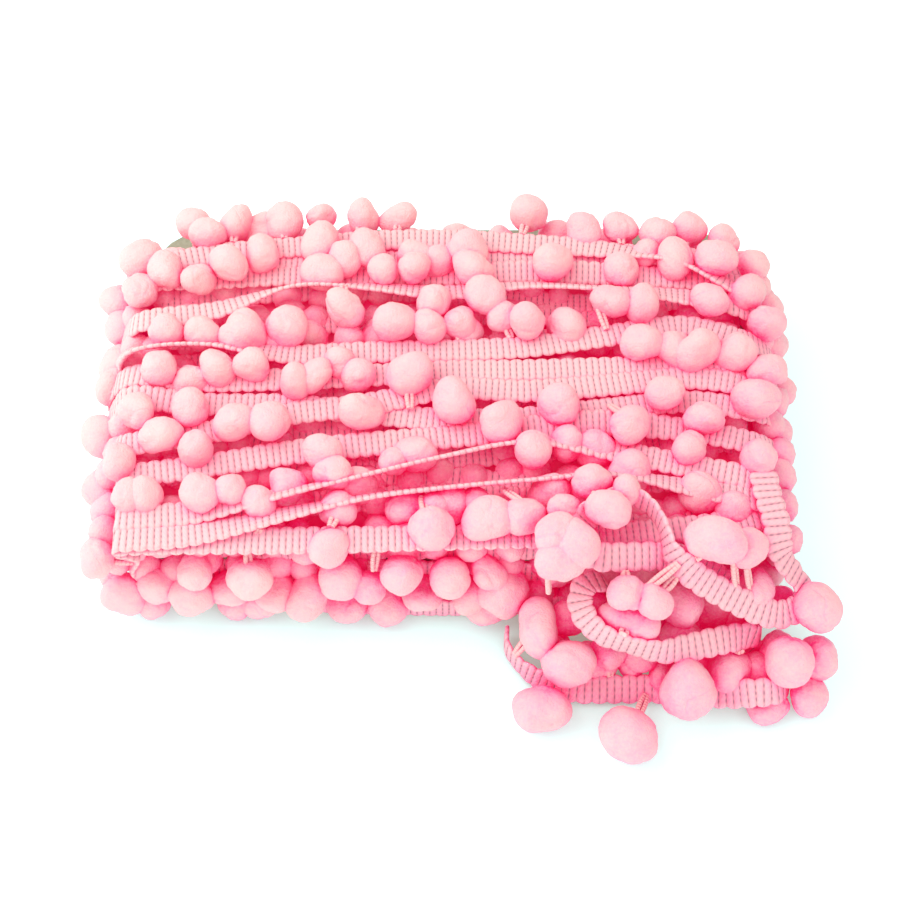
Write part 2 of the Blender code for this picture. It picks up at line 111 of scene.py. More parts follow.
# lift is how far the band rides above the block, left and right are how far it reaches past the
# ends, and y is where it crosses each of COLUMNS_X, all in millimetres. lean is its roll there in
# degrees: 0 lies flat, 90 stands with its far edge up.
TURNS = (
    Turn("front_low", -0.4, 69, 74.5,
         (-41.5, -41, -41, -40.5, -40, -39.5, -39, -37.5, -35), (0, 10, 10, 5, 0, 0, 0, 0, 0)),
    Turn("front_cross", 0.7, 70, 75.5,
         (-41.3, -40, -36, -32, -29.5, -27.6, -26, -29, -31), (0, -6, -30, -52, -57, -57, -50, -20, 0)),
    Turn("front_rise", 0.9, 71, 76,
         (-36.2, -34.6, -31, -26.5, -21.5, -17.5, -19, -23, -26), (0, -4, -42, -57, -57, -50, -10, 0, 0)),
    Turn("left_slope", 0.2, 75, 76,
         (-25, -22.5, -19.2, -16.8, -14.7, -13, -11.5, -13, -16), (0, 0, 5, 5, 0, 15, 20, 0, 0)),
    Turn("wide_near", 0.8, 77, 76,
         (-17, -14, -9, -6.3, -2, -2.6, -1.0, 1, -1), (0, 0, 0, 0, 0, 0, 0, 0, 0)),
    Turn("left_middle", 0.0, 78.5, 77,
         (-4.5, -5.7, -6, -8, -10, -9.5, -7, -5, -7), (15, 0, 0, 0, 0, 0, 0, 0, 0)),
    Turn("wide_far", 0.4, 79, 78,
         (2, 0.5, 1, 2, 3.2, 3.4, 4, 4.5, 5), (0, 0, 0, 0, 0, 0, 0, 0, 0)),
    Turn("middle_cross", 0.5, 78.5, 77.5,
         (8, 9.3, 7.5, 8.5, 9, 10, 13, 16, 12.5), (-50, -50, -10, 0, 0, 0, 0, 0, 0)),
    Turn("upper_twist", 0.8, 78, 76.5,
         (17.5, 20, 26, 26, 25, 26.5, 25.5, 24, 22), (0, -10, -52, -40, -20, -40, -45, -20, 0)),
    Turn("upper_deep", -0.5, 77.5, 77,
         (30, 31, 32, 32, 32, 32.5, 32, 31, 30), (0, 0, 0, 0, 0, 15, 15, 0, 0)),
    Turn("back_edge", 0.6, 76.5, 76,
         (34, 38, 40, 42, 42.3, 41, 39, 34, 27), (0, 0, 0, 0, 0, 0, -10, -50, -20)),
    Turn("back_low", -0.4, 75.5, 74.5,
         (33, 36, 37, 36.5, 36.5, 36.5, 38.5, 38, 35), (0, 0, 0, 0, 0, 0, 0, 0, 0)),
)

# The layer of turns under the outer ones, seen in the gaps: its height, and the place, spacing and
# sway of its bands, in millimetres. They lean up to INNER_LEAN degrees either way.
INNER_Z = 26.0
INNER_FIRST_Y = -37
INNER_PITCH = 7.3
INNER_COUNT = 11
INNER_HALF_X = 68
INNER_STATION_PITCH = 17
INNER_STEPS = 4
INNER_SWAY = 2.2
INNER_LEAN = 12

Band = namedtuple("Band", "name x y z lean")
# Bands of lower turns that show on the near and far sides, by their places in millimetres.
SIDE_BANDS = (
    Band("near_foot",
         (-66, -40, -12, 10, 40, 66), (-39, -42, -43.3, -43.3, -42, -38), (5, 4.5, 4.2, 4.2, 5, 5), 85),
    Band("near_middle",
         (-68, -40, -12, 10, 40, 68), (-37, -39, -39.4, -39.6, -39, -36), (13, 14, 15, 14, 13, 13), 80),
    Band("near_upper",
         (-68, -40, -12, 10, 40, 68), (-36, -38, -38.6, -38.8, -38, -34), (21, 22, 23, 23, 22, 20), 70),
    Band("far_foot",
         (-68, -40, -12, 10, 40, 68), (42, 45, 46, 46, 45, 42), (6, 6, 5, 6, 6, 6), 95),
    Band("far_upper",
         (-68, -40, -12, 10, 40, 68), (40, 44, 45, 45, 44, 40), (22, 23, 24, 24, 23, 22), 110),
)

Row = namedtuple("Row", "name x y z size")
# The bobbles that show: the middle of each in millimetres, and its size against a plain one.
ROWS = (
    Row("back_crest",
        (-62, -58, -51.5, -40, -30.5, -21, -12, 20, 33, 42, 51, 59, 67, 73),
        (49, 43.2, 48, 48, 50.5, 50.5, 49.5, 51.5, 45, 47, 44.5, 46.5, 42.5, 35.5),
        (30, 31, 30.5, 30, 29.5, 29.5, 29.5, 30, 31, 30, 31, 30, 30, 29),
        (1, .95, 1.05, 1.05, .95, 1, 1, 1, 1, 1, 1, 1, 1, 1)),
    Row("back_upper",
        (-73, -66.5, -58.5, -51.5, -44, -30, -29.5, -24.5, -19, -15, -8, -8, -2),
        (36, 30.5, 28.5, 31.5, 36, 39, 30.5, 34.5, 37.5, 30, 30.5, 35.5, 34.5),
        (31, 33, 33, 34, 33, 33.5, 33, 33, 33, 33.5, 34, 32, 31),
        (1.1, 1, 1, 1.12, 1.05, 1.1, 1, 1, 1.05, .9, 1.05, .95, .95)),
    Row("back_right",
        (5.5, 6, 25, 41.5, 54.5, 63.5, 61, 74.5, 47, 71),
        (37, 31, 33, 31.5, 34.5, 33.5, 21, 17, 38, 26),
        (33, 33.5, 34, 32, 33, 34, 34, 31, 31, 31),
        (1.05, 1.1, 1.15, 1, 1, 1.15, 1.1, 1, .9, 1)),
    Row("upper_middle",
        (-72, -64.5, -56.5, -47, -37, -24, -12, -4, -3, 3, 9, 13, 18.5, 28, 38, 45.5),
        (26.5, 13, 13, 12.5, 15, 19, 15.5, 14.5, 21, 16.5, 22.5, 17.5, 14.5, 16.5, 21.5, 21),
        (31, 33, 33, 33, 33.5, 34, 33, 33, 34, 32, 34, 32, 34, 30, 33, 33),
        (1, .9, .95, 1.1, 1.15, 1.1, 1.1, .9, 1.1, 1, 1.05, .9, 1.12, 1, 1.05, 1)),
    Row("middle",
        (-65.5, -58, -52.5, -44, -34, -29.5, -25, -20, -8, 44.5, 52, 57, 65.5, 73),
        (2.5, 1, 2.5, 3, -1, 0.5, 4.5, 1, 0.5, 9, 8.5, 6.5, 6.5, 2),
        (33, 31, 33, 33.5, 33, 33, 32, 32, 34, 33, 32, 34, 33, 31),
        (1.15, .9, 1, 1.12, .9, 1, .9, .95, 1.1, 1, 1, 1.12, 1.05, 1)),
    Row("lower_middle",
        (-69.5, -63, -57, -47, -39, -55, -18.5, 1.5, 12, 25, 40, 49, 19.5, 53, 57, 69, 33, 68),
        (-9.5, -16, -8.5, -13, -13, -19, -10, -7.5, -13, -8, -13.5, -5,
         -19.5, -18.5, -11.5, -6.5, -17.5, -21),
        (33, 33, 33, 34, 34, 32, 34, 34, 34, 34, 34, 34, 33.5, 32, 33, 33, 30, 32),
        (1.05, 1, 1, 1.12, 1, 1, 1.1, 1.15, 1.05, 1.05, 1.1, 1.05, 1, 1, 1.05, 1.05, 1, 1)),
    Row("lower",
        (-72, -68.5, -64.5, -53, -46, -41, -35, -27, -24.5, -12, -2, 26, 6),
        (-22, -31, -31, -31, -30, -32, -27.5, -20.5, -25.5, -22, -33.5, -17.5, -31),
        (32, 32, 32, 33, 33, 32, 30, 34, 33, 31, 31, 31, 30),
        (1, 1, 1, 1.05, 1, 1, .9, 1.05, 1.05, .9, .9, .9, .9)),
    Row("under_standing",
        (-9, -19.5, -7, -35, -24, 22, 31, 40, 55, 62),
        (-31.5, -26.5, -19, -27, -33, -29, -27, -24, -29, -33),
        (29, 29, 30, 30, 30, 29.5, 29.5, 30, 30, 30),
        (1, 1, 1, 1, .95, 1, 1, 1, 1, 1)),
    Row("front",
        (-75.5, -55, -42.5, -25.5, -22.5, -16.5, -9.5, -3.5, 0.5, 1, 9, 17, 9, 12.5),
        (-42, -43, -45.5, -42, -44.5, -45.5, -45, -39.5, -44.5, -31.5, -37, -36.5, -43, -44.5),
        (24, 20.5, 21.5, 29, 20, 18, 22, 33, 20, 30, 32.5, 33, 20, 13),
        (1.05, .95, 1.2, 1.1, 1, 1.05, 1.15, 1.15, 1.2, 1.05, 1.15, 1.15, .95, 1.3)),
    Row("front_foot",
        (-72, -63.5, -56.5, -66, -48.5, -48, -38, -30.5, -42.5, -22.5, -13.5, -5, 5, 8.5),
        (-42, -42.5, -44.5, -41.5, -42.5, -43, -43.5, -44.5, -43, -43, -43.5, -43.5, -43.5, -44),
        (8, 12.5, 12, 5, 11, 4.8, 12.5, 12, 6, 5.5, 5.5, 11, 11, 6.5),
        (1.1, 1.05, 1.2, 1, 1.15, 1, 1.05, 1.2, 1, 1.1, 1.05, 1.1, 1.05, 1.1)),
    Row("front_right",
        (20, 29, 38, 47, 56, 65, 24, 34, 43, 52, 61, 26, 48, 70),
        (-41, -41, -41, -40.5, -39.5, -38, -40, -40, -40, -39, -37.5, -38, -37.5, -36),
        (6, 5.5, 6, 5.5, 6, 6, 15, 14.5, 15, 14.5, 15, 24, 24, 22),
        (1, 1, 1, 1, 1, 1, 1, 1, 1, 1, 1, 1, 1, 1)),
    Row("left_end",
        (-76, -79.5, -79, -78.5, -78, -79, -76.5, -74.5, -76, -77.5, -77.5, -76.5, -74, -71),
        (43, 31, 22.5, 12, 4, -8, -22, -35, 36, 24, 9, -6, -19, -32),
        (21, 21, 21, 21, 22, 20, 20, 20, 7, 7, 7, 7, 7, 7),
        (1, 1.05, 1, 1, 1, 1.1, 1, 1.1, 1, 1, 1, 1, 1, 1)),
    Row("right_end",
        (72.5, 76.5, 76.5, 77.5, 75, 72.5, 75, 76, 75, 74),
        (42, 29, 18, 5, -8, 36, 24, 10, -4, -18),
        (21, 21, 21, 20, 21, 7, 7, 7, 7, 7),
        (1, 1.05, 1, 1.05, 1, 1, 1, 1, 1, 1)),
    Row("back_side",
        (-67, -54, -37, -24, -9, 3, 14, 27, 40, 52, 64, -62, -48, -33, -19, -5, 9, 24, 39, 54, -45),
        (44, 47.5, 49, 49.5, 50, 50, 50, 49.5, 48.5, 47, 44,
         44, 46.5, 47.5, 48, 48.5, 48.5, 48, 47, 45, 47.5),
        (20, 21, 21, 22, 21, 22, 21, 22, 21, 21, 20, 6, 6, 6, 6, 6, 6, 6, 6, 6, 27),
        (1, 1, 1, 1, 1, 1, 1, 1, 1, 1, 1, 1, 1, 1, 1, 1, 1, 1, 1, 1, 1.1)),
)

# The bobbles packed between the turns: the spacing of their uneven grid, in millimetres, how far
# each is shifted from it, the height of those that a turn presses down, and their sizes.
FILL_PITCH = 7.4
FILL_Z = 28.6
FILL_SHIFT = 1.4
FILL_PRESSED = 24.8 * MM
FILL_SIZE = (0.82, 1.0)
FILL_NEAR_Y = BLOCK_NEAR_Y / MM + 4
FILL_FAR_Y = BLOCK_FAR_Y / MM - 5
SIDE_FILL_OUT = 1.5
SIDE_FILL_Z = (7.5, 16.5, 24.5)
# A packed bobble is left out nearer than this to one in sight, in its own radius.
FILL_CLEAR = 0.7
# Past this the far corners of the card show, and nothing is packed above that height.
CARD_SHOWS_X = 58
CARD_SHOWS_Z = 20

LOOSE_STEPS = 8
# A bobble is tied to an edge that is at most this far from its middle, in its own radius.
TIE_REACH = 2.2
LooseStation = namedtuple("LooseStation", "x y z lean")
# Places along the middle of the loose band in millimetres. lean is its roll in degrees about its
# own direction: 0 lies flat, 90 stands on its edge, and past 90 it has turned over.
LOOSE_PATH = (
    LooseStation(68.5, -25.5, 33.0, 0),
    LooseStation(69.0, -31.5, 33.0, -4),
    LooseStation(70.0, -36.5, 32.5, -5),
    LooseStation(70.5, -40.5, 31.0, -8),
    LooseStation(71.5, -43.5, 28.0, -8),
    LooseStation(74.0, -45.5, 25.0, -10),
    LooseStation(76.5, -47.8, 22.0, -25),
    LooseStation(76.3, -50.8, 20.5, -38),
    LooseStation(72.5, -53.3, 20.5, -40),
    LooseStation(67.5, -54.0, 22.5, -33),
    LooseStation(61.0, -52.5, 25.5, -33),
    LooseStation(54.5, -50.5, 29.0, -33),
    LooseStation(50.0, -48.5, 32.0, -42),
    LooseStation(47.0, -45.5, 34.0, -72),
    LooseStation(45.5, -40.5, 35.5, -86),
    LooseStation(43.0, -35.5, 35.5, -86),
    LooseStation(38.5, -33.0, 35.5, -76),
    LooseStation(32.5, -35.0, 35.0, -60),
    LooseStation(28.5, -39.5, 34.5, -30),
    LooseStation(28.0, -44.0, 33.5, 10),
    LooseStation(32.0, -46.0, 32.5, 33),
    LooseStation(39.5, -45.5, 31.5, 33),
    LooseStation(47.5, -44.5, 29.5, 33),
    LooseStation(54.0, -45.5, 26.0, 35),
    LooseStation(61.0, -47.0, 21.0, 50),
    LooseStation(65.0, -48.5, 16.0, 65),
    LooseStation(67.8, -51.0, 12.8, 80),
    LooseStation(67.8, -54.3, 12.2, 105),
    LooseStation(64.0, -55.5, 14.0, 135),
    LooseStation(58.5, -57.5, 16.0, 145),
    LooseStation(52.0, -59.5, 17.0, 142),
    LooseStation(45.5, -61.0, 18.0, 115),
    LooseStation(39.0, -60.0, 19.0, 98),
    LooseStation(33.0, -58.0, 20.0, 112),
    LooseStation(29.5, -54.5, 21.0, 132),
    LooseStation(28.5, -50.5, 22.0, 148),
    LooseStation(30.0, -47.5, 23.0, 165),
    LooseStation(33.5, -46.5, 22.0, 160),
    LooseStation(36.0, -47.0, 18.0, 120),
    LooseStation(39.5, -48.0, 13.0, 85),
    LooseStation(48.0, -49.5, 10.0, 65),
    LooseStation(59.5, -51.0, 8.0, 65),
    LooseStation(69.5, -54.5, 5.0, 85),
    LooseStation(73.0, -58.5, 4.6, 92),
    LooseStation(74.0, -62.5, 6.2, 110),
    LooseStation(71.0, -65.8, 8.6, 136),
    LooseStation(66.0, -66.5, 9.0, 146),
    LooseStation(60.5, -65.4, 6.0, 147),
    LooseStation(53.5, -63.5, 3.4, 146),
    LooseStation(45.5, -63.0, 3.2, 146),
    LooseStation(37.0, -63.0, 3.2, 146),
    LooseStation(28.0, -63.0, 3.4, 142),
    LooseStation(21.5, -61.5, 3.7, 118),
    LooseStation(16.5, -58.0, 4.0, 95),
    LooseStation(13.5, -53.5, 4.0, 92),
    LooseStation(13.5, -49.0, 4.0, 90),
)

LooseBobble = namedtuple("LooseBobble", "x y z wide deep tall turn")
# The bobbles of the loose end: x, y and z are the middle of each in millimetres, wide, deep and
# tall its stretch against a plain round bobble, and turn its turn about the vertical in degrees.
LOOSE_BOBBLES = (
    LooseBobble(31.5, -30.0, 36.5, 1.0, 0.95, 0.9, 20),
    LooseBobble(33.5, -38.0, 38.5, 1.1, 1.0, 0.85, 0),
    LooseBobble(38.0, -32.5, 37.0, 0.85, 0.8, 0.8, 0),
    LooseBobble(24.5, -36.0, 35.0, 0.95, 0.7, 0.75, 10),
    LooseBobble(22.5, -43.5, 37.5, 1.2, 1.2, 1.1, 40),
    LooseBobble(26.5, -45.5, 37.0, 1.25, 1.25, 1.2, -20),
    LooseBobble(23.5, -48.0, 35.0, 1.3, 1.15, 1.2, 15),
    LooseBobble(55.5, -44.5, 37.0, 1.5, 1.15, 1.1, -28),
    LooseBobble(63.5, -43.5, 32.0, 1.0, 1.1, 1.0, 0),
    LooseBobble(79.0, -52.0, 20.5, 1.28, 1.28, 1.25, 0),
    LooseBobble(37.7, -53.0, 29.0, 1.0, 0.95, 0.92, 0),
    LooseBobble(43.5, -54.5, 29.0, 1.0, 0.95, 0.9, -10),
    LooseBobble(38.6, -55.2, 20.5, 1.7, 1.05, 0.95, -22),
    LooseBobble(51.0, -50.0, 18.0, 1.1, 1.1, 1.05, 0),
    LooseBobble(32.0, -50.0, 17.0, 0.85, 0.9, 0.9, 0),
    LooseBobble(51.0, -54.5, 12.0, 1.0, 0.9, 0.9, 0),
    LooseBobble(20.0, -52.5, 13.0, 1.1, 1.6, 1.3, 8),
    LooseBobble(26.5, -60.5, 10.5, 1.35, 1.3, 1.35, 0),
    LooseBobble(20.5, -69.0, 5.3, 1.55, 1.3, 1.15, 5),
    LooseBobble(39.0, -75.0, 5.9, 1.55, 1.5, 1.3, 0),
    LooseBobble(51.5, -66.5, 11.0, 1.4, 1.5, 1.5, 0),
    LooseBobble(61.5, -60.0, 7.0, 1.25, 1.2, 1.2, 0),
    LooseBobble(74.0, -61.0, 13.5, 1.3, 1.35, 1.35, 0),
    LooseBobble(81.0, -58.5, 9.5, 1.15, 1.2, 1.25, 0),
    LooseBobble(78.5, -65.0, 5.0, 1.05, 1.05, 1.05, 0),
    LooseBobble(70.0, -66.6, 3.7, 1.25, 1.0, 0.8, 0),
    LooseBobble(66.5, -48.5, 22.5, 0.95, 1.25, 1.1, 0),
    LooseBobble(73.5, -48.0, 15.0, 0.9, 0.9, 0.9, 0),
    LooseBobble(35.5, -56.5, 8.5, 1.0, 1.0, 0.95, 0),
    LooseBobble(42.5, -57.0, 7.0, 1.0, 0.9, 1.0, 0),
    LooseBobble(44.5, -51.5, 8.0, 1.0, 1.0, 0.95, 0),
    LooseBobble(60.5, -55.0, 10.5, 0.95, 0.8, 0.8, 0),
    LooseBobble(68.0, -59.5, 5.0, 1.0, 1.0, 1.0, 0),
    LooseBobble(24.0, -55.0, 5.0, 1.0, 1.0, 1.0, 0),
    LooseBobble(31.5, -57.5, 5.0, 1.1, 1.05, 1.05, 0),
    LooseBobble(58.0, -47.0, 10.5, 1.1, 1.0, 1.1, 0),
    LooseBobble(64.5, -47.5, 9.0, 1.0, 0.9, 1.0, 0),
    LooseBobble(53.5, -50.5, 6.0, 1.1, 1.0, 1.0, 0),
    LooseBobble(26.5, -48.5, 10.0, 1.0, 1.0, 1.1, 0),
    LooseBobble(38.0, -53.5, 5.0, 1.0, 1.0, 1.0, 0),
    LooseBobble(62.0, -53.5, 4.6, 1.0, 1.0, 1.0, 0),
    LooseBobble(34.5, -57.2, 4.3, 0.9, 0.9, 0.9, 0),
    LooseBobble(41.0, -56.8, 4.3, 0.9, 0.9, 0.9, 0),
    LooseBobble(48.0, -60.0, 4.3, 0.9, 0.9, 0.9, 0),
    LooseBobble(55.5, -58.0, 4.5, 0.9, 0.9, 0.9, 0),
    LooseBobble(72.5, -54.5, 8.0, 0.95, 0.95, 0.95, 0),
)

# Yarns that show: the places on the band's edge and in the bobble, in millimetres, of those on
# the bundle and then of those on the loose end.
BUNDLE_YARNS = (
    ((12.2, -29.5, 32.5), (15.8, -34.4, 35.5)), ((-5.2, -31.5, 32.5), (-4.4, -36.6, 34.5)),
    ((-23.4, -35.0, 32.5), (-24.6, -38.8, 32.5)), ((-15.0, -41.0, 28.5), (-15.6, -44.5, 23.5)),
    ((-39.8, -38.6, 31.5), (-41.6, -42.4, 28.0)), ((37.0, 14.5, 31.5), (35.0, 20.5, 33.5)),
    ((36.4, -7.6, 32.5), (39.4, -12.0, 35.0)), ((-8.6, -2.6, 33.0), (-8.2, -8.0, 32.0)),
)
LOOSE_YARNS = (
    ((48.4, -48.0, 33.0), (41.2, -53.0, 30.5)), ((60.0, -46.6, 33.0), (61.4, -50.6, 26.0)),
    ((63.0, -47.0, 31.0), (64.6, -50.6, 24.5)), ((21.0, -48.5, 34.0), (21.6, -51.0, 26.0)),
    ((43.6, -64.6, 3.4), (41.0, -71.0, 7.0)),
)


class Wire:
    """A node's output. Sums written with it add Math nodes to its tree."""

    def __init__(self, tree, socket):
        self.tree = tree
        self.socket = socket

    def __add__(self, other):
        return self.tree.maths("ADD", self, other)

    def __radd__(self, other):
        return self.tree.maths("ADD", other, self)

    def __sub__(self, other):
        return self.tree.maths("SUBTRACT", self, other)

    def __rsub__(self, other):
        return self.tree.maths("SUBTRACT", other, self)

    def __mul__(self, other):
        return self.tree.maths("MULTIPLY", self, other)

    def __rmul__(self, other):
        return self.tree.maths("MULTIPLY", other, self)

    def __truediv__(self, other):
        return self.tree.maths("DIVIDE", self, other)

    def __rtruediv__(self, other):
        return self.tree.maths("DIVIDE", other, self)

    def __pow__(self, other):
        return self.tree.maths("POWER", self, other)

    def __abs__(self):
        return self.tree.maths("ABSOLUTE", self)


class Tree:
    """A node tree that is built up by calls: a material's, or one of Geometry Nodes."""

    def __init__(self, nodes):
        self.nodes = nodes

    def put(self, socket, value):
        if isinstance(value, Wire):
            self.nodes.links.new(value.socket, socket)
        else:
            socket.default_value = value

    def add(self, kind, settings, *values, out=0, **named):
        """A node of that kind. Its settings come first, then its inputs in order or by name."""
        node = self.nodes.nodes.new(kind)
        for name, value in settings.items():
            setattr(node, name, value)
        for socket, value in zip([s for s in node.inputs if s.enabled], values):
            if value is not None:
                self.put(socket, value)
        for name, value in named.items():
            self.put(node.inputs[name.replace("_", " ")], value)
        outputs = [s for s in node.outputs if s.enabled]
        return Wire(self, outputs[out])

    def maths(self, operation, *values):
        return self.add("ShaderNodeMath", {"operation": operation}, *values)

    def vector(self, operation, *values):
        return self.add("ShaderNodeVectorMath", {"operation": operation}, *values)

    def scaled(self, vector, by):
        return self.vector("SCALE", vector, by)

    def smooth_step(self, value, low, high):
        """A smooth rise from 0 at the low value to 1 at the high one."""
        settings = {"interpolation_type": "SMOOTHSTEP"}
        return self.add("ShaderNodeMapRange", settings, value, low, high, 0.0, 1.0)

    def object_place(self):
        return self.add("ShaderNodeTexCoord", {}, out=3)

    def carried(self, name):
        """The number that the shaded mesh carries under that name."""
        return self.add("ShaderNodeAttribute", {"attribute_name": name}, out=2)

    def attribute(self, name, kind="FLOAT"):
        return self.add("GeometryNodeInputNamedAttribute", {"data_type": kind}, name)

    def kept(self, geometry, name, value, kind="FLOAT"):
        """The geometry with a value stored on its points under that name."""
        return self.add("GeometryNodeStoreNamedAttribute", {"data_type": kind, "domain": "POINT"},
                        geometry, None, name, value)


class GrowTree(Tree):
    """A Geometry Nodes tree with named number inputs."""

    def __init__(self, name, sizes):
        super().__init__(bpy.data.node_groups.new(name, "GeometryNodeTree"))
        face = self.nodes.interface
        face.new_socket("Geometry", in_out="INPUT", socket_type="NodeSocketGeometry")
        face.new_socket("Geometry", in_out="OUTPUT", socket_type="NodeSocketGeometry")
        self.ids = {size: face.new_socket(size, in_out="INPUT", socket_type="NodeSocketFloat").identifier
                    for size in sizes}
        group = self.nodes.nodes.new("NodeGroupInput")
        self.geometry = Wire(self, group.outputs["Geometry"])
        self.size = {size: Wire(self, group.outputs[size]) for size in sizes}

    def finish(self, geometry, material):
        smooth = self.add("GeometryNodeSetShadeSmooth", {}, geometry)
        real = self.add("GeometryNodeRealizeInstances", {}, smooth)
        painted = self.add("GeometryNodeSetMaterial", {}, real, None, material)
        end = self.nodes.nodes.new("NodeGroupOutput")
        self.nodes.links.new(painted.socket, end.inputs["Geometry"])
        return self


def grown(name, source, tree, sizes):
    """The plain mesh that a tree makes of a source mesh, as a new object at the origin."""
    seed = bpy.data.objects.new(name + "_source", source)
    bpy.context.scene.collection.objects.link(seed)
    modifier = seed.modifiers.new("grow", "NODES")
    modifier.node_group = tree.nodes
    for size, value in sizes.items():
        modifier[tree.ids[size]] = value
    seen = seed.evaluated_get(bpy.context.evaluated_depsgraph_get())
    mesh = bpy.data.meshes.new_from_object(seen)
    seed.modifiers.remove(modifier)
    bpy.data.objects.remove(seed)
    bm = bmesh.new()
    bm.from_mesh(mesh)
    bmesh.ops.recalc_face_normals(bm, faces=bm.faces[:])
    bm.to_mesh(mesh)
    bm.free()
    mesh.name = name
    made = bpy.data.objects.new(name, mesh)
    bpy.context.scene.collection.objects.link(made)
    return made


def finish_material(name, roughness, **constants):
    """A new material, its tree and its Principled shader, whose constant sockets are set."""
    material = bpy.data.materials.new(name)
    material.use_nodes = True
    material.cycles.emission_sampling = "NONE"
    shader = material.node_tree.nodes["Principled BSDF"]
    shader.inputs["Roughness"].default_value = roughness
    for socket, value in constants.items():
        shader.inputs[socket.replace("_", " ")].default_value = value
    return material, Tree(material.node_tree), shader


# Painted light and shade: colours of the trim in the light and in the shade, of the painted shade
# in its stitch holes, of its yarns, of the card and of the floor.
PINK_FULL_LIGHT = (1.0, 0.56, 0.54, 1)
PINK_LIT = (1.0, 0.50, 0.53, 1)
PINK_HALF_SHADE = (1.0, 0.325, 0.51, 1)
PINK_DEEP_SHADE = (0.98, 0.045, 0.27, 1)
STITCH_HOLE_SHADE = (0.28, 0.11, 0.16, 1)
YARN_LIT = (1.0, 0.54, 0.53, 1)
BOARD_DARK = (0.28, 0.28, 0.19, 1)
BOARD_LIGHT = (0.36, 0.36, 0.26, 1)
FLOOR_WHITE = (0.52, 0.92, 0.90, 1)
FLOOR_GLOW = 0.45
# How far from a point the trim round it counts as shutting out light.
NEIGHBOUR_REACH = 10 * MM
# Painted light and shade: stops of how open a point is to the light, from buried to free, and the
# colour painted at each.
FELT_STOPS = ((0.0, PINK_DEEP_SHADE), (0.2, PINK_HALF_SHADE), (0.65, PINK_LIT), (0.97, PINK_FULL_LIGHT))
YARN_STOPS = ((0.0, PINK_DEEP_SHADE), (0.2, PINK_HALF_SHADE), (0.6, YARN_LIT))
# Painted light: how much openness pales a point, and the slope that paints the far left end paler.
OPEN_SHARE = 0.8
PAINTED_LIGHT_TOWARDS = (-1.3, 2.3, 0.0)
# How much the felt's colour changes from bobble to bobble and within one, and how much painted
# shade darkens its creases.
BATCH_SHARE = 0.36
MOTTLE_SHARE = 0.42
CREASE_SHADE_SHARE = 0.12
# Scales of the noises, in cells to a metre: the felt's colour, creases and fibres, the band's
# fibres, the card's fibres and the lumps and tufts of a bobble's form.
BATCH_SCALE = 70.0
MOTTLE_SCALE = 260.0
FLECK_SCALE = 1300.0
CREASED_SCALE = 95.0
CREASE_SCALE = 110.0
CLUMP_SCALE = 700.0
FUZZ_SCALE = 2200.0
THREAD_SCALE = 1500.0
WEAVE_SCALE = 1800.0
PACKED_SCALE = 160.0
BOARD_SCALE = 900.0
LUMP_SCALE = 125.0
TUFT_SCALE = 750.0
# Painted shadow: the floor's glow, dimmed near the trim so that it leaves a plain grey shadow.
SHADOW_REACH = 30 * MM
PAINTED_SHADOW_STOPS = ((0.0, (0.25, 0.5, 0.3, 1)), (0.6, (0.9, 0.87, 0.73, 1)), (0.85, (1.0, 1.0, 1.0, 1)))
# A painted glow, emitted deep between the turns, that stands in for light the fibres pass on to each
# other.
PAINTED_GLOW_STOPS = ((0.0, (0.13, 0.0, 0.02, 1)), (0.45, (0.03, 0.0, 0.01, 1)), (0.9, (0.0, 0.0, 0.0, 1)))

# The stage. The camera looks down from the near side, tilted by so many degrees from straight down.
FLOOR_SIZE = 4
FLOOR_DROP = 0.3 * MM
WORLD_STRENGTH = 0.86
SENSOR_MM = 36
LENS_MM = 61.92
CAMERA_PLACE = (0.0007, -0.2041, 0.3169)
CAMERA_TILT = 33


def ramp(tree, factor, stops):
    made = tree.add("ShaderNodeValToRGB", {}, factor)
    line = made.socket.node.color_ramp
    for stop, (place, colour) in zip((line.elements[0], line.elements[-1]), (stops[0], stops[-1])):
        stop.position = place
        stop.color = colour
    for place, colour in stops[1:-1]:
        line.elements.new(place).color = colour
    return made


def object_noise(tree, scale, detail=2.0):
    return tree.add("ShaderNodeTexNoise", {}, Vector=tree.object_place(), Scale=scale, Detail=detail)


def bumped(tree, shader, height, strength, distance):
    bump = tree.add("ShaderNodeBump", {}, Strength=strength, Distance=distance, Height=height)
    tree.put(shader.inputs["Normal"], bump)


def openness(tree, reach=NEIGHBOUR_REACH):
    """How much of the space round a point is free of the trim, from 0 to 1."""
    return tree.add("ShaderNodeAmbientOcclusion", {"samples": 6}, None, reach, out=1)


def painted_light_level(tree, free):
    """A point's place on the felt's stops, which paints light and shade: paler where it is open to the
    light, and painted paler towards the far left end, where the light falls stronger.
    """
    return free * OPEN_SHARE + tree.vector("DOT_PRODUCT", tree.object_place(), PAINTED_LIGHT_TOWARDS)


